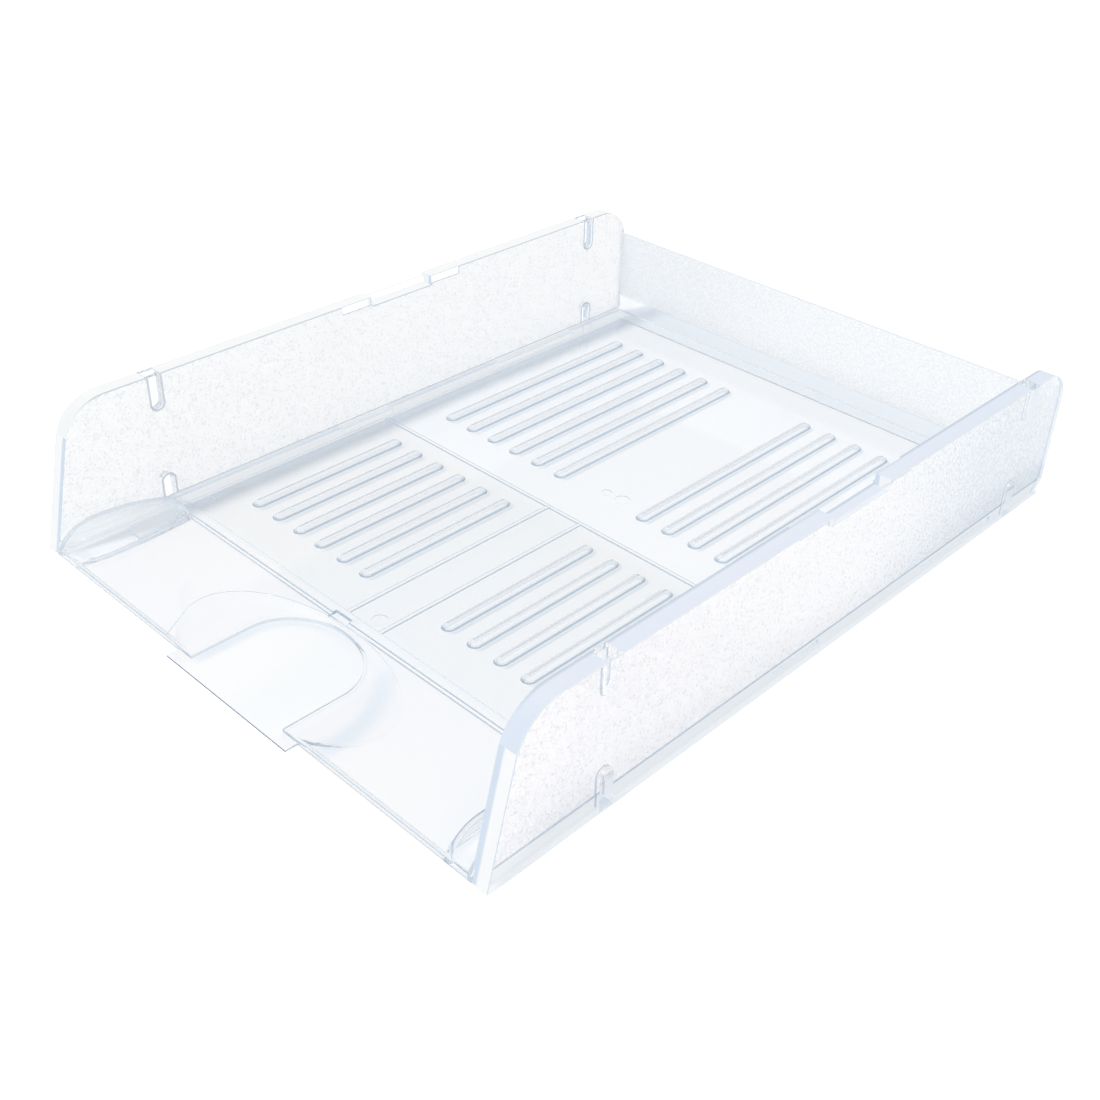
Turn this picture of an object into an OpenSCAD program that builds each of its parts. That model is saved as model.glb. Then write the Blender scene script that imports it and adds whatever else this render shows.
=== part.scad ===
// Stackable letter tray: a clear base moulding with a ribbed floor, a finger
// scoop and a rear wall, closed at both sides by thick panels that carry the
// stacking pockets. Origin at the middle of the whole footprint, front lip
// included, on the resting plane; +Y to the rear, +Z up.
// Parts are drawn with y = 0 at the front edge and moved by y_shift at the end.

/* [Overall] */
// Width over the outer faces of the side panels
tray_w = 267; // [255:1:290]
// Depth of the side panels, front edge to rear edge
tray_d = 348; // [340:1:370]
// Height of the side panels
tray_h = 64; // [60:1:76]

/* [Side panels] */
// Thickness of a side panel
panel_t = 8; // [7:0.5:10]
// How far the front edge leans back over its full height
front_lean = 15.7; // [8:0.1:20]
// Radius of the top front corner
front_r = 20.8; // [12:0.1:24]
// Radius of the top rear corner
rear_r = 17; // [8:1:22]
// Set-back of the notch at the bottom rear corner
rear_notch_y = 4.5; // [2:0.5:6]
// Height of the notch at the bottom rear corner
rear_notch_z = 7; // [4:0.5:10]

/* [Stacking pockets] */
// Length of a stacking pocket along the panel
pocket_len = 6.6; // [5.6:0.2:10]
// Width of a stacking pocket across the panel
pocket_w = 3.6; // [2.5:0.1:4.5]
// Depth of a pocket in the top edge
pocket_top = 16; // [14:0.5:20]
// Depth of a pocket in the bottom edge
pocket_bottom = 17; // [12:0.5:20]
// Distance of the front pockets from the front corner
pocket_front = 55; // [50:1:65]
// Distance of the rear pockets from the front corner
pocket_rear = 318.5; // [305:0.5:320]

/* [Label seat] */
// Distance of the seat's middle from the front corner
seat_mid = 190; // [170:1:210]
// Length of the deep notch in the top edge
seat_len = 37; // [20:1:50]
// Depth of the deep notch
seat_deep = 4.6; // [2:0.1:6]
// Length of the shallow step around the notch
step_len = 72; // [55:1:90]
// Height of the shallow step
step_h = 3.5; // [2:0.1:5]

/* [Floor] */
// Level of the floor's top face
floor_top = 2.2; // [1.8:0.1:3]
// Thickness of the floor sheet
floor_t = 1.6; // [1.2:0.1:1.7]
// Level of the front apron's top face
apron_top = 3; // [2.4:0.1:3.6]
// Distance of the cross bead from the front corner
bead_y = 57; // [56:0.5:62]
// Width of the cross bead
bead_w = 4.6; // [3:0.1:6]
// Distance of the fine cross line from the front corner
mid_y = 172.5; // [168:0.5:180]
// Half the spacing of the two fine lines along the middle
strip_half = 9.7; // [7:0.1:14]

/* [Ridges] */
// Ridges in a group
ridge_n = 6; // [3:1:6]
// Spacing of the ridges
ridge_pitch = 14.7; // [12:0.1:14.8]
// Distance of the first ridge from the middle
ridge_first = 25.1; // [20:0.1:25.5]
// Width of a ridge where it meets the floor
ridge_w = 6.4; // [5.4:0.1:8]
// Height of a ridge over the floor
ridge_h = 2.3; // [1.6:0.1:2.6]
// Wall thickness of a ridge, which is hollow below
ridge_wall = 1.5; // [1.2:0.1:1.6]

/* [Rail] */
// Height of the rail along the sides and the rear
rail_h = 6; // [5:0.1:7]
// Thickness of the rail
rail_t = 3.7; // [3:0.1:4.5]
// Width of the hump at each front corner
hump_w = 16.5; // [14:0.5:18]
// Height of the hump
hump_h = 12.4; // [9:0.1:14]
// Radius of the hump's front seen from the side
hump_r = 20; // [18:0.5:22]
// Radius of the hump's long rear slope
hump_rear_r = 110; // [90:5:140]
// Rounding of the hump's shoulder towards the apron
hump_round = 11; // [6:0.5:12]
// Wall thickness of the hump
hump_wall = 1.8; // [1.2:0.1:2.2]

/* [Rear wall] */
// Height of the rear wall
wall_h = 50; // [30:1:55]
// Thickness of the rear wall
wall_t = 2; // [1.5:0.1:2.6]

/* [Finger scoop] */
// Half the width of the scoop's outer edge
scoop_half_w = 56; // [44:1:60]
// Half the depth of the scoop's outer edge
scoop_half_d = 30; // [24:1:31]
// Distance of the scoop's middle from the front edge
scoop_y = 23; // [20:1:24]
// Half the width of the scoop's flat bottom
flat_half_w = 28.5; // [20:0.5:34]
// Thickness of the scoop's bottom and of the front lip
lip_t = 0.9; // [0.8:0.1:1.1]
// Width of the front lip
lip_w = 74; // [50:1:80]
// How far the lip reaches out in front
lip_out = 5.4; // [3:0.1:7]

/* [Panel joint] */
// Distances of the two lugs' middles from the front corner
lug_mid = [163, 278]; // [140:1:300]
// Lengths of the two lugs
lug_len = [30, 56]; // [20:1:70]
// Height of a lug
lug_h = 2.4; // [1.6:0.1:2.6]
// Play over a lug and at the ends of its window
lug_play = 0.2; // [0.1:0.05:0.4]
// Gap between the base and a panel
side_gap = 0.1; // [0.05:0.05:0.2]
// Depth of the rabbet in a panel that takes the base's rail
rabbet = 0.8; // [0.4:0.1:1.4]

/* [Hidden] */
$fn = 64;
base_color = [0.86, 0.93, 0.97, 0.45];
panel_color = [0.80, 0.89, 0.94, 0.6];

eps = 0.01;
over = 1;       // reach of a cutter past a face, or of a block into its neighbour
sink = 0.3;     // depth to which ribs and ridges are set into the floor
slice_t = 0.1;  // thin slices that a hull joins

panel_x = tray_w / 2 - panel_t;       // inner face of a panel
base_x = panel_x - side_gap;          // side of the base
rail_x = panel_x + rabbet - side_gap; // outer side of the rail, inside the rabbet
y_shift = (lip_out - tray_d) / 2;     // front edge of the panels
wall_y = tray_d - 1;                  // rear face of the rear wall

hump_y = 17;     // where the hump is highest
hump_end = 55;   // rear end of the hump
skirt_t = 1.8;   // thickness of the apron's front skirt

// a ridge is the cap of a cylinder
ridge_r = (pow(ridge_w / 2, 2) + ridge_h * ridge_h) / (2 * ridge_h);
// front and rear end of each row of ridges: front row, rear row
ridge_rows = [[78.8, 162.6], [192.8, 318.4]];

// round ejector marks in the floor: x, y, diameter
marks = [
    [3, 65.5, 7], [-116, 66, 9], [116, 66, 9], [-116, 302, 8],
    [116, 302, 8], [0, 200, 5], [9, 200.5, 7]
];

// front and rear end of lug i, with play added at both
function lug_span(i, play = 0) =
    [lug_mid[i] - lug_len[i] / 2 - play, lug_mid[i] + lug_len[i] / 2 + play];

// ---- Helpers ----

// block between two corners
module block(low, high) {
    translate(low) cube(high - low);
}

// the block between two corners on the right, and its mirror image on the left
module block_pair(low, high) {
    for (s = [-1, 1])
        block([s > 0 ? low.x : -high.x, low.y, low.z],
            [s > 0 ? high.x : -low.x, high.y, high.z]);
}

// extrudes a drawing of the Y-Z plane from x0 to x1
module extrude_x(x0, x1) {
    translate([x0, 0, 0]) rotate([90, 0, 90]) linear_extrude(x1 - x0) children();
}

// extrudes a drawing of the X-Y plane upwards from z
module slab(z, thickness) {
    translate([0, 0, z]) linear_extrude(thickness) children();
}

// ellipse centred on x = 0
module oval(half_w, half_d, y) {
    count = 96;
    polygon([for (i = [0:count - 1])
        [half_w * cos(i * 360 / count), y + half_d * sin(i * 360 / count)]]);
}

// a wedge that cuts a corner to a rounding tangent to both edges;
// dir_a and dir_b are the unit directions of the edges that leave the corner
module round_off(corner, dir_a, dir_b, radius) {
    margin = 2;
    half = acos(dir_a * dir_b) / 2;
    reach = radius / tan(half);
    inward = (dir_a + dir_b) / norm(dir_a + dir_b);
    centre = corner + inward * (radius / sin(half));
    outward = -inward * margin;
    end_a = corner + dir_a * reach;
    end_b = corner + dir_b * reach;
    difference() {
        polygon([corner + outward, end_a + outward, end_a, centre, end_b, end_b + outward]);
        translate(centre) circle(r = radius, $fn = 96);
    }
}

// ---- Side panels ----

// outline of a side panel, seen from the side
module panel_outline() {
    front_angle = atan2(tray_h, front_lean);
    notch_foot = rear_notch_z * 0.35; // upright part of the notch, below its slope
    difference() {
        polygon([
            [0, 0],
            [tray_d - rear_notch_y, 0],
            [tray_d - rear_notch_y, notch_foot],
            [tray_d, rear_notch_z],
            [tray_d, tray_h],
            [front_lean, tray_h]
        ]);
        round_off([front_lean, tray_h], [1, 0],
            [-cos(front_angle), -sin(front_angle)], front_r);
        round_off([tray_d, tray_h], [-1, 0], [0, -1], rear_r);
    }
}

// U-shaped pocket, open at the top (end = 1) or at the bottom (end = -1)
module pocket(y, depth, end) {
    radius = pocket_len / 2;
    z = end > 0 ? tray_h - depth + radius : depth - radius;
    translate([y, z]) {
        circle(r = radius, $fn = 48);
        translate([-radius, end > 0 ? 0 : -depth]) square([pocket_len, depth]);
    }
}

// cut in the top edge, from the inner face outwards to x_end
module seat_cut(length, depth, x_end) {
    block([-over, seat_mid - length / 2, tray_h - depth],
        [x_end, seat_mid + length / 2, tray_h + over]);
}

// one side panel standing with its inner face at x = 0 and its outer face at +x
module panel() {
    step_depth = 0.7;  // how far the shallow step goes into the inner face
    seat_skin = 1.6;   // outer skin left beside the deep notch
    skin_drop = 1.5;   // how far that skin lies below the top edge
    lug_short = 0.3;   // how far a lug ends short of the rail's thickness
    difference() {
        extrude_x(0, panel_t) panel_outline();
        extrude_x((panel_t - pocket_w) / 2, (panel_t + pocket_w) / 2)
            for (y = [pocket_front, pocket_rear]) {
                pocket(y, pocket_top, 1);
                pocket(y, pocket_bottom, -1);
            }
        // rabbet along the foot of the inner face
        block([-over, -over, -over], [rabbet, tray_d + over, rail_h + side_gap]);
        // label seat
        seat_cut(step_len, step_h, step_depth);
        seat_cut(seat_len, seat_deep, panel_t - seat_skin);
        seat_cut(seat_len, skin_drop, panel_t + over);
    }
    // lugs that lock into the windows of the base's rail and rest on their sills
    for (i = [0, 1])
        block([-rail_t + lug_short, lug_span(i)[0], floor_top],
            [rabbet + over, lug_span(i)[1], floor_top + lug_h]);
}

// ---- Ridges ----

// rounded bar along Y with ball ends; inset shrinks it all round
module bar(x, row, inset) {
    y_front = row[0] + ridge_w / 2;
    y_rear = row[1] - ridge_w / 2;
    z = floor_top + ridge_h - ridge_r;
    translate([x, y_front, z]) rotate([-90, 0, 0])
        cylinder(r = ridge_r - inset, h = y_rear - y_front, $fn = 40);
    for (y = [y_front, y_rear])
        translate([x, y, z]) sphere(r = ridge_r - inset, $fn = 40);
}

// four groups of bars, each cut off below foot_z
module ridges(inset, foot_z) {
    for (s = [-1, 1], k = [0:ridge_n - 1], row = ridge_rows) {
        x = s * (ridge_first + k * ridge_pitch);
        intersection() {
            bar(x, row, inset);
            block([x - ridge_w, row[0] - over, foot_z],
                [x + ridge_w, row[1] + over, floor_top + ridge_h + over]);
        }
    }
}

// ---- Humps ----

// upright wheel in the right corner, with a rounded shoulder towards the apron;
// inset shrinks it
module hump_wheel(outer_r, inset) {
    radius = outer_r - inset;
    shoulder = hump_round - inset;
    width = hump_w - inset;
    translate([base_x - hump_w + inset, hump_y, hump_h - outer_r]) rotate([0, 90, 0])
        rotate_extrude($fn = 120) {
            square([radius - shoulder, width]);
            translate([0, shoulder]) square([radius, width - shoulder]);
            intersection() {
                translate([radius - shoulder, shoulder]) circle(r = shoulder, $fn = 48);
                translate([radius - shoulder, 0]) square(shoulder);
            }
        }
}

// a small wheel in front and a large one for the long rear slope
module hump_form(inset) {
    intersection() {
        hump_wheel(hump_r, inset);
        block([0, inset, -over], [base_x - inset, hump_y, hump_h + over]);
    }
    intersection() {
        hump_wheel(hump_rear_r, inset);
        block([0, hump_y, -over], [base_x - inset, hump_end - inset, hump_h + over]);
    }
}

// hollow hump at the right front corner
module hump() {
    difference() {
        intersection() {
            hump_form(0);
            block([0, 0, 0], [base_x, tray_d, hump_h + over]);
        }
        hump_form(hump_wall);
    }
}

// room below the humps; the extra inset is at the -X end of both rooms
module hump_rooms() {
    extra_inset = 2;
    room_rear = hump_y + 12;
    for (s = [-1, 1]) {
        mid_x = s * (base_x - hump_w / 2);
        block([mid_x - hump_w / 2 + hump_wall + extra_inset, hump_wall, -over],
            [mid_x + hump_w / 2 - hump_wall, room_rear, apron_top + over]);
    }
}

// ---- Finger scoop ----

// outer form of the finger scoop: a dished sheet below the apron, and the lip
module scoop_pad() {
    foot_half_w = flat_half_w + 4;
    foot_front_d = 12; // depth of the straight part at the front
    lip_root = 2;      // how far the lip reaches back behind the front edge
    intersection() {
        hull() {
            slab(apron_top - floor_t, floor_t)
                oval(scoop_half_w + 1, scoop_half_d + 1, scoop_y);
            linear_extrude(slice_t) {
                oval(foot_half_w, scoop_half_d - 4, scoop_y + 3.5);
                translate([-foot_half_w, 0]) square([2 * foot_half_w, foot_front_d]);
            }
        }
        block([-tray_w, 0, 0], [tray_w, tray_d, apron_top]);
    }
    block([-lip_w / 2, -lip_out, 0], [lip_w / 2, lip_root, lip_t]);
}

// inner form, from outside: a shallow rim, a steeper slope, a flat ring and
// the flat bottom, one low step down
module scoop_cut() {
    front_y = -8;                // the cutters start in front of the lip
    rim_z = apron_top - 0.15;    // outer edge of the rim
    slope_z = apron_top - 0.3;   // top of the slope
    ring_z = lip_t + 1.3;        // flat ring
    bottom_h = 2;                // height of the bottom's cutter

    // opens the front edge over a share of the scoop's width
    module front_slot(share, z) {
        translate([-scoop_half_w * share, front_y, z])
            cube([2 * scoop_half_w * share, 10, 1]);
    }
    module slope_oval() {
        oval(scoop_half_w - 7, scoop_half_d - 3, scoop_y);
    }

    hull() {
        slab(rim_z, over) oval(scoop_half_w, scoop_half_d, scoop_y);
        slab(slope_z, slice_t) slope_oval();
        front_slot(0.72, slope_z);
    }
    hull() {
        slab(slope_z, over) slope_oval();
        slab(ring_z, slice_t) oval(scoop_half_w - 13, scoop_half_d - 5, scoop_y + 1.5);
        front_slot(0.69, slope_z);
        front_slot(0.62, ring_z);
    }
    slab(lip_t, bottom_h) {
        oval(flat_half_w, scoop_half_d - 6.5, scoop_y + 4);
        translate([-flat_half_w, front_y]) square([2 * flat_half_w, scoop_y + 12]);
    }
}

// ---- Base ----

module floor_sheet() {
    apron_overlap = 3; // how far the main floor reaches forward of the bead's middle
    block([-base_x, bead_y - apron_overlap, floor_top - floor_t],
        [base_x, wall_y - eps, floor_top]);
    // apron, its front skirt and the scoop
    difference() {
        union() {
            block([-base_x, 0, apron_top - floor_t], [base_x, bead_y, apron_top]);
            block([-base_x, 0, 0], [base_x, skirt_t, apron_top]);
            scoop_pad();
        }
        scoop_cut();
        hump_rooms();
    }
}

// side rails and rear rail, standing on the resting plane, the edges of the
// apron in the rabbets, and the rear wall
module rails_and_wall() {
    block_pair([base_x - rail_t, hump_end - over, 0], [rail_x, wall_y, rail_h]);
    block([-rail_x, wall_y - rail_t, 0], [rail_x, wall_y, rail_h]);
    block_pair([base_x - over, 0, 0], [rail_x, hump_end, apron_top]);
    block([-base_x, wall_y - wall_t, 0], [base_x, wall_y, wall_h]);
}

// cross bead, and the fine lines across the floor and along its middle
module floor_ribs() {
    rib_x = base_x - 1;
    rib_z = floor_top - sink;
    bead_top = apron_top + 0.6;
    line_top = floor_top + 0.4;
    line_half_w = 1;
    block([-rib_x, bead_y - bead_w / 2, rib_z], [rib_x, bead_y + bead_w / 2, bead_top]);
    block([-rib_x, mid_y - line_half_w, rib_z], [rib_x, mid_y + line_half_w, line_top]);
    block_pair([strip_half - line_half_w, bead_y, rib_z],
        [strip_half + line_half_w, mid_y, line_top]);
}

// windows in the side rails for the lugs
module lug_windows() {
    for (i = [0, 1])
        block_pair([base_x - rail_t - eps, lug_span(i, lug_play)[0], floor_top],
            [rail_x + eps, lug_span(i, lug_play)[1], floor_top + lug_h + lug_play]);
}

// shallow rectangular gate seat behind the scoop, and round ejector marks
module mould_marks() {
    gate_depth = 0.9;
    mark_depth = 0.25;
    block([-12.4, bead_y - 5, apron_top - gate_depth],
        [-2.6, bead_y - 0.4, apron_top + 2]);
    for (mark = marks)
        translate([mark[0], mark[1], floor_top - mark_depth])
            cylinder(d = mark[2], h = 0.3, $fn = 40);
}

module base_tray() {
    color(base_color) translate([0, y_shift, 0]) difference() {
        union() {
            floor_sheet();
            rails_and_wall();
            hump();
            mirror([1, 0, 0]) hump();
            floor_ribs();
            ridges(0, floor_top - sink);
        }
        // hollows below the ridges
        ridges(ridge_wall, 0);
        lug_windows();
        mould_marks();
    }
}

module left_side_panel() {
    color(panel_color) translate([-panel_x, y_shift, 0]) mirror([1, 0, 0]) panel();
}

module right_side_panel() {
    color(panel_color) translate([panel_x, y_shift, 0]) panel();
}

base_tray();
left_side_panel();
right_side_panel();
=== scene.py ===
# A clear plastic tray: a floor sheet with a rear wall, between two side panels
# frosted on their inner faces, standing on a white desk.
# X runs across the tray with 0 in the middle, Y from front to back, Z up.
# Shader masks measure in millimetres where a value comes from depth_mm(),
# height_mm() or MM_PER_M, and in metres elsewhere.
import bpy, math
from mathutils import Matrix, Vector

FRONT_Y = -0.1713       # front edge of the side panels
REAR_WALL = 0.345       # inner face of the rear wall, behind FRONT_Y
MM_PER_M = 1000.0
WHITE = (1, 1, 1, 1)
BLACK = (0, 0, 0, 1)


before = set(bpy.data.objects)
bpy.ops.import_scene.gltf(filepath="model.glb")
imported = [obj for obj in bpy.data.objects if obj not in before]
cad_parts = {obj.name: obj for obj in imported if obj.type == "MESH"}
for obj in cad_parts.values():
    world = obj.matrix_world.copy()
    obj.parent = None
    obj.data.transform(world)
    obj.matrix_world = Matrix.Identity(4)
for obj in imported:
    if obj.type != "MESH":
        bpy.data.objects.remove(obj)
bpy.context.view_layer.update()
scene = bpy.context.scene


# ---------------------------------------------------------------- node helpers
class Value:
    """An output of a shader node. Arithmetic and comparisons add math nodes;
    value[name] is another output of the same node."""

    def __init__(self, graph, node, key=0):
        self.graph = graph
        self.node = node
        self.key = key

    def __getitem__(self, key):
        return Value(self.graph, self.node, key)

    def __add__(self, other):
        return self.graph.math("ADD", self, other)

    def __radd__(self, other):
        return self.graph.math("ADD", other, self)

    def __sub__(self, other):
        return self.graph.math("SUBTRACT", self, other)

    def __rsub__(self, other):
        return self.graph.math("SUBTRACT", other, self)

    def __mul__(self, other):
        return self.graph.math("MULTIPLY", self, other)

    def __truediv__(self, other):
        return self.graph.math("DIVIDE", self, other)

    def __gt__(self, other):
        return self.graph.math("GREATER_THAN", self, other)

    def __lt__(self, other):
        return self.graph.math("LESS_THAN", self, other)

    def __abs__(self):
        return self.graph.math("ABSOLUTE", self)


class Graph:
    """Adds nodes to an emptied node tree."""

    def __init__(self, owner):
        owner.use_nodes = True
        self.tree = owner.node_tree
        self.tree.nodes.clear()

    def node(self, kind, inputs=None, **settings):
        node = self.tree.nodes.new(kind)
        for name, setting in settings.items():
            setattr(node, name, setting)
        for key, value in (inputs or {}).items():
            if isinstance(value, Value):
                self.tree.links.new(value.node.outputs[value.key], node.inputs[key])
            else:
                node.inputs[key].default_value = value
        return Value(self, node)

    def math(self, operation, a, b=0.0):
        return self.node("ShaderNodeMath", {0: a, 1: b, 2: 0.0}, operation=operation)

    def max(self, a, b):
        return self.math("MAXIMUM", a, b)

    def min(self, a, b):
        return self.math("MINIMUM", a, b)

    def length(self, a, b):
        return self.math("SQRT", a * a + b * b)

    def fade(self, value, start, end, at_start=0.0, at_end=1.0):
        """Smooth change from at_start to at_end while value goes from start to end."""
        inputs = dict(enumerate((value, start, end, at_start, at_end)))
        return self.node("ShaderNodeMapRange", inputs, interpolation_type="SMOOTHSTEP")

    def blend(self, factor, under, over, mode="MIX"):
        inputs = {0: factor, 6: under, 7: over}     # 6 and 7 are the colour sockets
        return self.node("ShaderNodeMix", inputs, data_type="RGBA", blend_type=mode)[2]

    def noise(self, vector, scale, detail=2.0, roughness=0.5):
        return self.node("ShaderNodeTexNoise", {
            "Vector": vector, "Scale": scale, "Detail": detail, "Roughness": roughness})

    def diffuse(self, colour):
        return self.node("ShaderNodeBsdfDiffuse", {"Color": colour})

    def emission(self, colour, strength=1.0):
        return self.node("ShaderNodeEmission", {"Color": colour, "Strength": strength})

    def mix_shaders(self, factor, first, second):
        return self.node("ShaderNodeMixShader", {0: factor, 1: first, 2: second})

    def add_shaders(self, first, second):
        return self.node("ShaderNodeAddShader", {0: first, 1: second})


class PlasticGraph(Graph):
    """A new material's graph, with the place and outward normal of the shaded point."""

    def __init__(self, name):
        self.material = bpy.data.materials.new(name)
        super().__init__(self.material)
        self.light_path = self.node("ShaderNodeLightPath")
        self.geometry = self.node("ShaderNodeNewGeometry")
        self.position = self.node("ShaderNodeTexCoord")["Object"]
        place = self.node("ShaderNodeSeparateXYZ", {0: self.position})
        self.x, self.y, self.z = place["X"], place["Y"], place["Z"]
        # flipped for rays that meet the face from inside
        outward = self.node("ShaderNodeVectorMath", {
            0: self.geometry["True Normal"],
            "Scale": 1.0 - self.geometry["Backfacing"] * 2.0}, operation="SCALE")
        normal = self.node("ShaderNodeSeparateXYZ", {0: outward})
        self.nx, self.ny, self.nz = normal["X"], normal["Y"], normal["Z"]

    def depth_mm(self):
        return (self.y - FRONT_Y) * MM_PER_M

    def height_mm(self):
        return self.z * MM_PER_M


# ---------------------------------------------------------------- clear plastic
IOR = 1.585
BASE_ROUGHNESS = 0.02
FLOOR_ROUGHNESS = 0.09          # added on level faces near the desk
FROST_ROUGHNESS = 0.26          # added where frosted
FROST_AMOUNT = 0.55             # strength of the frost's bumps and of its haze
BODY_BLUE = (0.50, 0.74, 0.92, 1)
BODY_DENSITY = 6.0
GRAZED_SHADOW = (0.42, 0.51, 0.60, 1)
FACING_SHADOW = (0.968, 0.975, 0.983, 1)
DIFFUSE_PASS = (0.99, 0.993, 0.996, 1)
DEEP_RAY_GLOW = (0.42, 0.52, 0.62, 1)
FROST_PAINT = ((0.945, 1.08), (0.95, 0.94), (0.955, 0.75))  # mean, share of swing; R, G, B


def frost_paint(swing):
    return tuple(mean + swing * share for mean, share in FROST_PAINT) + (1,)


def surface_normal(g, frost):
    """Rounded edges, broad flow marks, then the fine frosted grain."""
    bevel = g.node("ShaderNodeBevel", {"Radius": 0.00025}, samples=4)
    flow = g.node("ShaderNodeBump", {
        "Strength": 0.05, "Distance": 0.002,
        "Height": g.noise(g.position, scale=14.0), "Normal": bevel})
    return g.node("ShaderNodeBump", {
        "Strength": frost * FROST_AMOUNT, "Distance": 0.0004,
        "Height": g.noise(g.position, scale=900.0, roughness=0.7), "Normal": flow})


def passing_light(g, rim_shadow, painted_shadow):
    """Light goes straight through flat sheets and is thrown aside by surfaces
    it only grazes, so those cast soft blue-grey shadows."""
    dot = g.node("ShaderNodeVectorMath", {
        0: g.geometry["True Normal"], 1: g.geometry["Incoming"]},
        operation="DOT_PRODUCT")["Value"]
    shade = g.blend(g.fade(abs(dot), 0.1, 0.92), GRAZED_SHADOW, FACING_SHADOW)
    # high upward edges and the front edges cast a soft band on the desk
    edge = g.fade(g.nz, 0.55, 0.9) * g.fade(g.z, 0.04, 0.045)
    front = g.fade(g.ny, -0.5, -0.8) * g.fade(g.z, 0.004, 0.010) * (g.y < FRONT_Y + 0.03)
    rim = g.blend(g.max(edge, front * 0.85), shade, rim_shadow)
    soft = g.blend(0.75, shade, DIFFUSE_PASS)
    colour = g.blend(g.light_path["Is Shadow Ray"], soft, rim)
    # the painted shadow, set region by region on the floor, dims the light let through
    colour = g.blend(1.0, colour, painted_shadow, mode="MULTIPLY")
    return g.node("ShaderNodeBsdfTransparent", {"Color": colour})


def frost_haze(g, glow, grit_scale, grit_swing):
    """The frosted grain scatters light like thin white paint, with a painted glow added on top.
    """
    speck = g.fade(g.noise(g.position, grit_scale, roughness=0.7), 0.29, 0.71)
    paint = g.blend(speck, frost_paint(-grit_swing), frost_paint(grit_swing))
    back_light = g.node("ShaderNodeBsdfTranslucent", {"Color": paint})
    haze = g.mix_shaders(0.55, g.diffuse(paint), back_light)
    return g.add_shaders(haze, g.emission(g.blend(1.0, glow, paint, mode="MULTIPLY")))


def clear_plastic(g, frost, painted_shading, rim_shadow, glow, grit_scale, grit_swing,
                  shade_tint=WHITE, painted_shadow=WHITE):
    """Refracting plastic with a faint blue body. frost masks the frosted area,
    the painted shading argument is the cover and colour of painted highlights and shade,
    the glass tint is painted shade in the glass colour, and the painted shadow colours the
    light that passes through."""
    level = (g.nz > 0.9) * (g.z < 0.0036)
    glass = g.node("ShaderNodeBsdfGlass", {
        "Color": shade_tint,
        "Roughness": BASE_ROUGHNESS + level * FLOOR_ROUGHNESS + frost * FROST_ROUGHNESS,
        "IOR": IOR,
        "Normal": surface_normal(g, frost)})
    haze = frost_haze(g, glow, grit_scale, grit_swing)
    body = g.mix_shaders(frost * FROST_AMOUNT, glass, haze)

    # painted highlights and shade: partly self-lit so that they read the same in any light
    cover, colour = painted_shading
    detail = g.add_shaders(
        g.emission(colour, strength=0.68), g.diffuse(g.blend(0.7, colour, BLACK)))
    body = g.mix_shaders(cover, body, detail)

    # painted glow: light thrown about many times comes out as an even pale blue emission, not
    # lost
    deep_ray_glow = g.fade(g.light_path["Ray Depth"], 5.5, 10.5)
    body = g.mix_shaders(deep_ray_glow, body, g.emission(DEEP_RAY_GLOW))

    through = g.max(g.light_path["Is Shadow Ray"], g.light_path["Is Diffuse Ray"])
    g.node("ShaderNodeOutputMaterial", {
        "Surface": g.mix_shaders(through, body, passing_light(g, rim_shadow, painted_shadow)),
        "Volume": g.node("ShaderNodeVolumeAbsorption", {
            "Color": BODY_BLUE, "Density": BODY_DENSITY})})
    return g.material


# ---------------------------------------------------------------- side panels
# stacking pockets, mm: two depths, each with a low and a high pocket
POCKET_DEPTHS = (55.0, 318.5)
LOW_POCKET_TOP = 13.7           # height of the end arc's centre
HIGH_POCKET_BOTTOM = 51.3
POCKET_RADIUS = 3.3
PANEL_INNER_X = 0.1255          # m from the middle
FOOT_TOP = 6.15                 # mm, line along the upper edge of the foot

# painted highlights and shade on the panels' narrow faces, the foot and round the pockets
TOP_OUTER_BORDER = (0.74, 0.79, 0.81, 1)
UPRIGHT_EDGE = (0.90, 0.92, 0.94, 1)
UPRIGHT_INNER_BORDER = (0.52, 0.64, 0.80, 1)
UPRIGHT_OUTER_BORDER = (0.55, 0.64, 0.76, 1)
PANEL_FOOT = (0.93, 0.94, 0.955, 1)
PANEL_EDGE_SHADE = (0.36, 0.45, 0.56, 1)


def pocket_distance(g):
    """Distance in mm from the outline of the nearest stacking pocket."""
    y = g.depth_mm()
    z = g.height_mm()
    off_y = g.min(*(abs(y - depth) for depth in POCKET_DEPTHS))
    off_z = g.min(g.max(HIGH_POCKET_BOTTOM - z, 0.0), g.max(z - LOW_POCKET_TOP, 0.0))
    return g.length(off_y, off_z) - POCKET_RADIUS


def panel_frost(g):
    """The inner face above the foot, outside the pockets."""
    inner = (abs(g.x) < 0.1259) * (abs(g.nx) > 0.8)
    above_foot = g.fade(g.z, 0.0055, 0.0065)
    return inner * above_foot * g.fade(pocket_distance(g), -0.4, 0.3)


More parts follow.
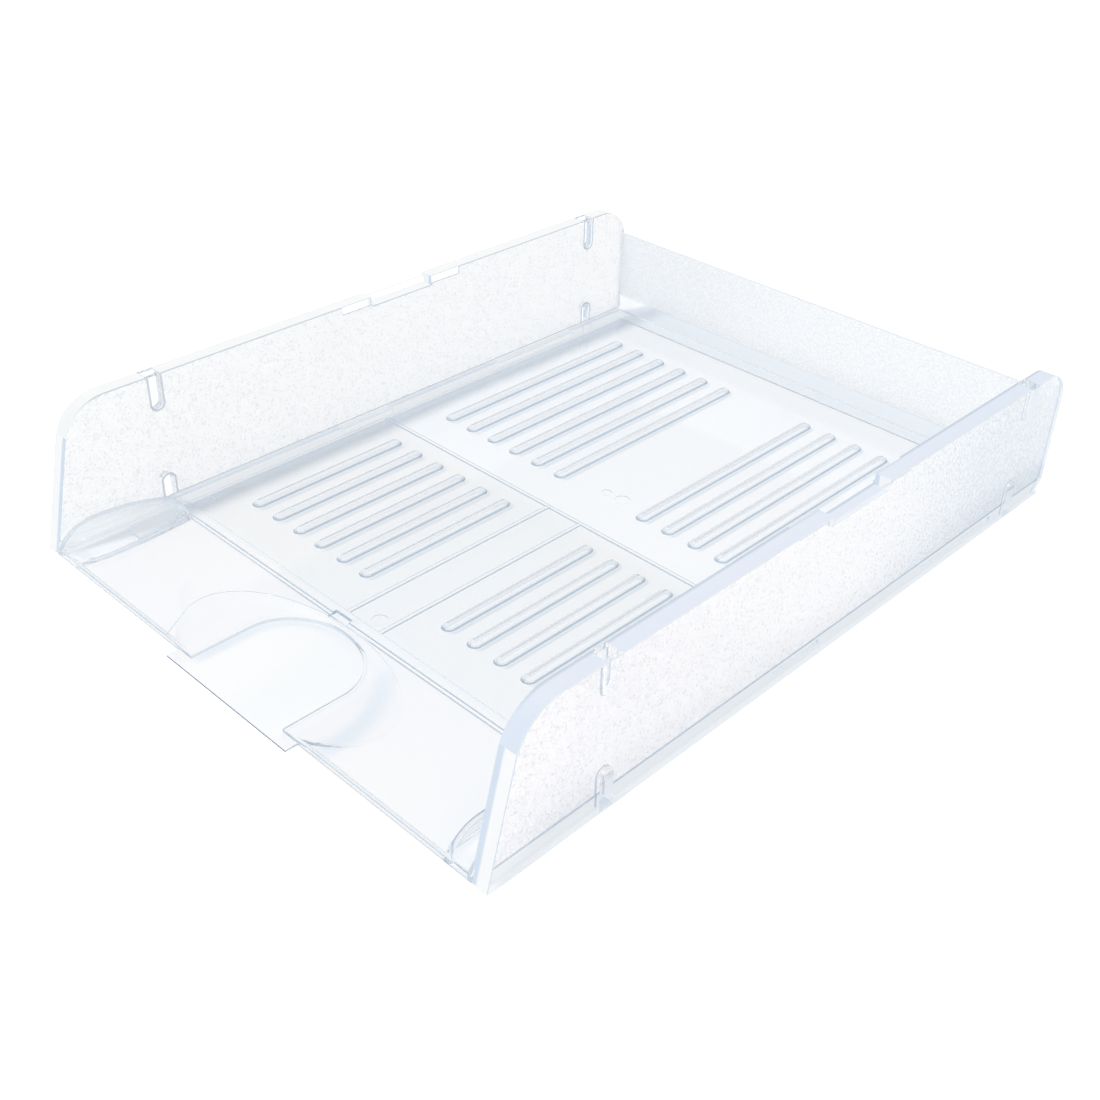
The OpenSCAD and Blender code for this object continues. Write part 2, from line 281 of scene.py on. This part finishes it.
def panel_painted_shading(g, top_colour, line_colour, bend_colour):
    """Painted highlights and shade on the polished narrow edges, round the pockets and along
    the foot.
    """
    x = abs(g.x)
    z = g.height_mm()
    outward = (x - PANEL_INNER_X) * MM_PER_M        # mm through the thickness
    pocket = pocket_distance(g)

    # painted highlights and shade on the narrow faces round the panel
    top = (g.nz > 0.3) * (z > 30.0)
    upright = (abs(g.ny) > 0.3) * (z > 0.6) * (1.0 - top)
    edge = g.max(top, upright) * g.fade(pocket, 0.1, 0.4)
    on_top = g.blend(g.fade(outward, 1.7, 0.6), top_colour, line_colour)
    on_top = g.blend(g.fade(g.ny, -0.15, -0.75), on_top, bend_colour)
    on_top = g.blend(g.fade(outward, 7.3, 7.8), on_top, TOP_OUTER_BORDER)
    on_upright = g.blend(g.fade(outward, 3.2, 2.0), UPRIGHT_EDGE, UPRIGHT_INNER_BORDER)
    on_upright = g.blend(g.fade(outward, 7.3, 7.8), on_upright, UPRIGHT_OUTER_BORDER)
    colour = g.blend(upright, on_top, on_upright)

    # painted light on the foot and underside, painted shade round the pockets and along the
    # foot line
    inner = (x < 0.1268) * (abs(g.nx) > 0.8)
    ring = inner * g.fade(abs(pocket + 0.1), 0.7, 0.3) * (z > 1.0)
    foot = inner * g.fade(z, 6.3, 5.9)
    line = inner * g.fade(abs(z - FOOT_TOP), 0.6, 0.25)
    sole = (g.nz < -0.8) * (z < 0.5)
    colour = g.blend(g.max(foot, sole), colour, PANEL_FOOT)
    colour = g.blend(g.max(ring, line), colour, PANEL_EDGE_SHADE)

    cover = g.max(edge * 0.88, g.max(foot, sole) * 0.82)
    cover = g.max(cover, g.max(ring, line) * 0.75)
    return cover, colour


def panel_material(g, edge_colours, rim_shadow, glow):
    return clear_plastic(
        g, frost=panel_frost(g), painted_shading=panel_painted_shading(g, **edge_colours),
        rim_shadow=rim_shadow, glow=glow, grit_scale=1080.0, grit_swing=0.35)


def left_panel_material():
    return panel_material(
        PlasticGraph("frosted_plastic_left"),
        edge_colours=dict(
            top_colour=(0.93, 0.935, 0.93, 1),
            line_colour=(0.46, 0.56, 0.66, 1),
            bend_colour=(0.86, 0.885, 0.90, 1)),
        # painted faint warm glow on the frosted face
        rim_shadow=(0.18, 0.28, 0.40, 1), glow=(0.13, 0.09, 0.055, 1))


def right_panel_material():
    g = PlasticGraph("frosted_plastic_right")
    # painted glow, warm from the front to the middle, faint and cool at the back
    front, middle, rear = (0.38, 0.28, 0.25, 1), (0.41, 0.32, 0.27, 1), (0.0, 0.02, 0.05, 1)
    glow = g.blend(g.fade(g.y, FRONT_Y + 0.06, FRONT_Y + 0.17), front, middle)
    glow = g.blend(g.fade(g.y, FRONT_Y + 0.19, FRONT_Y + 0.32), glow, rear)
    return panel_material(
        g,
        edge_colours=dict(
            top_colour=(0.68, 0.75, 0.87, 1),
            line_colour=(0.44, 0.53, 0.66, 1),
            bend_colour=(0.60, 0.70, 0.85, 1)),
        rim_shadow=(0.10, 0.20, 0.30, 1), glow=glow)


# ---------------------------------------------------------------- base tray
# mm, depths counted from FRONT_Y
SCOOP_HALF_WIDTH = 28.5         # inner step of the scoop at the front
SCOOP_ARC_DEPTH = 27.0          # where the step's rounded end begins
SCOOP_ARC_LENGTH = 23.5
SCOOP_WALL_RADIUS = 46.0        # outer wall of the scoop
SCOOP_WALL_DEPTH = 9.0          # its centre
RIDGE_BOTTOM, RIDGE_TOP = 2.22, 4.8     # heights of the floor ridges
RIDGE_FRONT, RIDGE_REAR = 77.0, 320.0
RIB_X = 9.7                     # fine ribs along the floor, left and right
CROSS_RIB_DEPTH = 172.5         # fine rib across the floor
RIB_HALF_WIDTH = 1.02
RIB_HALF_CROWN = 0.62           # the flat between a rib's borders

# light let down to the desk
FLOOR_PASS = (0.875, 0.868, 0.855, 1)
REAR_FLOOR_PASS = (0.965, 0.96, 0.96, 1)
FRONT_FLOOR_PASS = (0.94, 0.918, 0.908, 1)
SCOOP_PASS = (1.0, 0.985, 0.955, 1)
BOW_PASS = (0.62, 0.72, 0.83, 1)
STEP_PASS = (0.68, 0.78, 0.88, 1)
MOTTLED_SHADOW = (0.885, 0.905, 0.925, 1)
FLANK_PASS = (0.55, 0.62, 0.70, 1)
# painted shade: tint of the glass on steep faces
STEEP_SHADE = (0.80, 0.87, 0.93, 1)
STEP_SHADE = (0.50, 0.58, 0.70, 1)
# painted highlights and shade
WALL_TOP = (0.90, 0.92, 0.94, 1)
WALL_TOP_BORDER = (0.55, 0.64, 0.74, 1)
WALL_FACE = (0.58, 0.66, 0.75, 1)
RIDGE_BODY = (0.93, 0.95, 0.975, 1)
RIDGE_FOOT = (0.30, 0.38, 0.49, 1)
STEP_LIT = (0.80, 0.87, 0.94, 1)
STEP_DIM = (0.42, 0.50, 0.62, 1)
RIB_BORDER = (0.42, 0.50, 0.60, 1)
LIP_FRONT = (0.14, 0.14, 0.22, 1)
HUMP_FACING = (0.84, 0.89, 0.94, 1)
HUMP_GRAZED = (0.17, 0.26, 0.43, 1)
SIDE_RAIL = (0.90, 0.93, 0.96, 1)


def base_painted_shadow(g):
    """Painted shadow: how much light the floor sheet lets down to the desk, region by region.
    """
    x = g.x * MM_PER_M
    y = g.depth_mm()
    z = g.height_mm()
    top = (g.nz > 0.4) * (z < 5.0)
    colour = g.blend(g.fade(y, 165.0, 178.0), FLOOR_PASS, REAR_FLOOR_PASS)
    colour = g.blend(g.fade(y, 62.0, 54.0), colour, FRONT_FLOOR_PASS)
    low = (abs(x) < SCOOP_HALF_WIDTH) * (y < 49.0)
    colour = g.blend(low, colour, SCOOP_PASS)

    # the wall of the scoop bends light away: a soft bow on its right side
    radius = g.length(x / SCOOP_WALL_RADIUS, (y - SCOOP_WALL_DEPTH) / SCOOP_WALL_RADIUS)
    bow = g.fade(abs(radius - 1.0), 0.13, 0.02)
    bow = bow * g.fade(x, 18.0, 34.0) * g.fade(y, -6.0, 6.0)
    colour = g.blend(bow * 0.8, colour, BOW_PASS)

    # the shaded left side of the inner step
    arc_y = g.max(y - SCOOP_ARC_DEPTH, 0.0) / SCOOP_ARC_LENGTH
    outside = g.length(x / SCOOP_HALF_WIDTH, arc_y) - 1.0
    lee = g.fade(abs(outside + 0.05), 0.11, 0.02) * g.fade(x, 16.0, -6.0) * g.fade(y, -2.0, 4.0)
    colour = g.blend(lee * 0.7, colour, STEP_PASS)

    # painted shadow standing in for broad faint waves of a moulded sheet, stretched from front
    # to back
    stretched = g.node("ShaderNodeCombineXYZ", {0: g.x, 1: g.y * 0.45})
    mottle = g.noise(stretched, scale=11.0, detail=1.0)
    colour = g.blend(g.fade(mottle, 0.40, 0.66) * 0.55, colour, MOTTLED_SHADOW)

    # painted shadow under the flanks of the ridges that face right
    flank = ((z > RIDGE_BOTTOM) * (z < RIDGE_TOP) * (y > RIDGE_FRONT) * (y < RIDGE_REAR)
             * g.fade(g.nx, 0.25, 0.7))
    colour = g.blend(flank * g.light_path["Is Shadow Ray"], colour, FLANK_PASS)
    return g.blend(top, WHITE, colour)


def base_frost(g):
    """The inner face of the rear wall."""
    face = (g.y > FRONT_Y + 0.3448) * (g.y < FRONT_Y + 0.3452) * (g.ny < -0.8)
    return face * g.fade(g.z, 0.013, 0.016)


def base_painted_glass_shade(g):
    """Painted shade in the glass on the steep flanks of the ridges and ribs, and on the step in
    the scoop.
    """
    z = g.height_mm()
    x = abs(g.x)
    y = g.depth_mm()
    steep = g.fade(abs(g.nz), 0.80, 0.50)
    on_floor = (z > 2.15) * (z < 4.6) * (x < 0.121) * (y > 54.0) * (y < 330.0)
    colour = g.blend(steep * on_floor, WHITE, STEEP_SHADE)
    step = steep * (z > 0.8) * (z < 2.3) * (x < 0.032) * (y < 53.0) * (g.nx < -0.2)
    return g.blend(step, colour, STEP_SHADE)


def base_painted_shading(g):
    """Painted highlights and shade of the base, each laid over the ones before."""
    z = g.height_mm()
    x = abs(g.x)
    y = g.depth_mm()
    steepness = abs(g.nz)       # 1 on level faces, 0 on upright ones

    # painted highlight on the top edge of the rear wall, paler in the middle of its thickness,
    # with painted shade at its borders
    into_wall = (g.y - (FRONT_Y + REAR_WALL)) * MM_PER_M
    wall_top = (g.nz > 0.7) * (z > 49.0)
    border = g.fade(abs(into_wall - 1.0), 0.45, 0.9)
    colour = g.blend(border, WALL_TOP, WALL_TOP_BORDER)
    cover = wall_top * 0.85

    # painted highlight on the ridges' crowns and painted shade at their feet
    ridge = ((z > RIDGE_BOTTOM) * (z < RIDGE_TOP) * (x < 0.105) * (x > 0.0215)
             * (y > RIDGE_FRONT) * (y < RIDGE_REAR) * (g.nz > 0.15) * (steepness < 0.985))
    foot = ridge * g.fade(steepness, 0.60, 0.48)
    body = ridge * g.fade(steepness, 0.50, 0.66)
    colour = g.blend(body, colour, RIDGE_BODY)
    colour = g.blend(foot, colour, RIDGE_FOOT)
    cover = g.max(cover, g.max(body * 0.5, foot * 0.78))

    # step in the scoop, lit where it faces right
    step = (z > 0.85) * (z < 2.25) * (x < 0.0286) * (y < 51.0) * (steepness < 0.5)
    lit = step * g.fade(g.nx, -0.4, 0.3)
    dim = step - lit
    colour = g.blend(lit, colour, STEP_LIT)
    colour = g.blend(dim, colour, STEP_DIM)
    cover = g.max(cover, lit * 0.78 + dim * 0.8)

    # painted shade on the face of the rear wall, stronger towards the left
    wall = ((y > 344.0) * (g.ny < -0.8) * (z > 6.0)
            * g.fade(g.x, 0.01, -0.115, at_start=0.28, at_end=1.0))
    colour = g.blend(wall > 0.05, colour, WALL_FACE)

    # painted shade along the borders of the fine ribs
    x_mm = x * MM_PER_M
    along = ((abs(x_mm - RIB_X) < RIB_HALF_WIDTH) * (y > 58.0) * (y < 173.0)
             * g.max(abs(x_mm - RIB_X) > RIB_HALF_CROWN, steepness < 0.5))
    across = ((abs(y - CROSS_RIB_DEPTH) < RIB_HALF_WIDTH) * (x < 0.1245)
              * g.max(abs(y - CROSS_RIB_DEPTH) > RIB_HALF_CROWN, steepness < 0.5))
    rib = g.max(along, across) * (z > 2.25) * (z < 2.7)
    colour = g.blend(rib, colour, RIB_BORDER)
    cover = g.max(cover, rib * 0.7)

    # painted shade on the thin front of the lip
    lip = (y < -5.0) * (g.ny < -0.8)
    colour = g.blend(lip, colour, LIP_FRONT)
    cover = g.max(cover, lip * 0.85)

    # painted light and shade on the humps at the front corners, darker where seen at a grazing
    # angle
    hump = (z > 3.1) * (y < 55.5) * (x > 0.100)
    facing = g.node("ShaderNodeLayerWeight", {"Blend": 0.5})["Facing"]
    graze = g.fade(facing, 0.52, 0.86)
    colour = g.blend(hump, colour, g.blend(graze, HUMP_FACING, HUMP_GRAZED))
    cover = g.max(cover, hump * g.fade(graze, 0.0, 1.0, at_start=0.24, at_end=0.82))

    # painted pale light on the low rails along the sides
    rail = (x > 0.1205) * (z > 0.5) * (z < 6.3) * (y > 56.0)
    colour = g.blend(rail, colour, SIDE_RAIL)
    cover = g.max(cover, rail * 0.3)
    return g.max(cover, wall * 0.28), colour


def base_material():
    g = PlasticGraph("clear_plastic")
    return clear_plastic(
        g, frost=base_frost(g), painted_shading=base_painted_shading(g), shade_tint=base_painted_glass_shade(g),
        painted_shadow=base_painted_shadow(g), rim_shadow=(0.0, 0.03, 0.08, 1), glow=BLACK,
        grit_scale=1000.0, grit_swing=0.17)


# ---------------------------------------------------------------- stage
DESK_HALF = 20.0
DESK_Z = -0.0002
TRAY_HALF_WIDTH = 0.1335
TRAY_HALF_DEPTH = 0.174


def desk_material():
    """White, and lit up to plain white for the camera around the tray."""
    material = bpy.data.materials.new("white_desk")
    g = Graph(material)
    place = g.node("ShaderNodeSeparateXYZ", {0: g.node("ShaderNodeNewGeometry")["Position"]})
    off_x = abs(place["X"]) - TRAY_HALF_WIDTH
    off_y = abs(place["Y"] - (FRONT_Y + TRAY_HALF_DEPTH)) - TRAY_HALF_DEPTH
    away = g.max(off_x, off_y)
    direct = g.node("ShaderNodeLightPath")["Ray Depth"] < 0.5
    brightness = 1.0
    glow = g.emission(WHITE, g.fade(away, -0.0006, 0.0008) * direct * brightness)
    surface = g.add_shaders(g.diffuse((0.96, 0.965, 0.97, 1)), glow)
    g.node("ShaderNodeOutputMaterial", {"Surface": surface})
    return material


def add_object(name, data):
    thing = bpy.data.objects.new(name, data)
    scene.collection.objects.link(thing)
    return thing


def add_desk():
    mesh = bpy.data.meshes.new("desk")
    corners = [(-1, -1), (1, -1), (1, 1), (-1, 1)]
    points = [(x * DESK_HALF, y * DESK_HALF, DESK_Z) for x, y in corners]
    mesh.from_pydata(points, [], [(0, 1, 2, 3)])
    desk = add_object("desk", mesh)
    mesh.materials.append(desk_material())


def add_world():
    """Grey at the horizon, bright overhead; plain white when seen directly."""
    world = bpy.data.worlds.new("studio")
    scene.world = world
    g = Graph(world)
    direction = g.node("ShaderNodeTexCoord")["Generated"]
    height = g.node("ShaderNodeSeparateXYZ", {0: direction})["Z"]
    horizon, zenith, seen = (0.43, 0.47, 0.52, 1), (1.07, 1.08, 1.09, 1), (1.35, 1.35, 1.35, 1)
    sky = g.blend(g.fade(height, 0.45, 1.0), horizon, zenith)
    colour = g.blend(g.node("ShaderNodeLightPath")["Is Camera Ray"], sky, seen)
    background = g.node("ShaderNodeBackground", {"Color": colour, "Strength": 0.8})
    g.node("ShaderNodeOutputWorld", {"Surface": background})
    world.cycles.sampling_method = "NONE"


def add_sun():
    light = bpy.data.lights.new("key", "SUN")
    light.energy = 2.25
    light.angle = math.radians(7.0)
    light.color = (1.0, 0.975, 0.945)
    light.cycles.use_multiple_importance_sampling = False
    direction = Vector((0.22, 0.54, -1.0))      # down and towards the back right
    add_object("key", light).rotation_euler = direction.to_track_quat("-Z", "Y").to_euler()


def add_camera():
    """In front on the right, looking down at the tray."""
    data = bpy.data.cameras.new("camera")
    camera = add_object("camera", data)
    data.sensor_width = 36.0
    data.lens = 45.8155636
    data.clip_start = 0.01
    data.clip_end = 30
    azimuth, elevation, roll = 0.761, 0.595, 0.028      # radians
    place = Vector((0.35184, -0.20546 + FRONT_Y, 0.33313))
    back = Vector((math.sin(azimuth) * math.cos(elevation),
                   -math.cos(azimuth) * math.cos(elevation),
                   math.sin(elevation)))
    forward = -back
    right = forward.cross(Vector((0, 0, 1))).normalized()
    up = right.cross(forward)
    rolled_right = right * math.cos(roll) + up * math.sin(roll)
    rolled_up = -right * math.sin(roll) + up * math.cos(roll)
    turn = Matrix((rolled_right, rolled_up, back)).transposed().to_4x4()
    camera.matrix_world = Matrix.Translation(place) @ turn
    scene.camera = camera


def set_render():
    view = scene.view_settings
    view.view_transform = "Standard"
    view.look = "None"
    view.exposure = 0.0
    view.gamma = 1.4
    cycles = scene.cycles
    # enough bounces for light to cross both walls of every piece
    cycles.max_bounces = 24
    cycles.transmission_bounces = 20
    cycles.glossy_bounces = 8
    cycles.diffuse_bounces = 3
    cycles.transparent_max_bounces = 24
    cycles.volume_bounces = 0
    cycles.caustics_refractive = True
    cycles.caustics_reflective = True
    cycles.blur_glossy = 0.3
    cycles.sample_clamp_indirect = 4.0
    cycles.use_denoising = True


# ---------------------------------------------------------------- build
piece_materials = {
    "base_tray": base_material(),
    "left_side_panel": left_panel_material(),
    "right_side_panel": right_panel_material(),
}
for name, material in piece_materials.items():
    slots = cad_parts[name].data.materials
    slots.clear()
    slots.append(material)

add_desk()
add_world()
add_sun()
add_camera()
set_render()
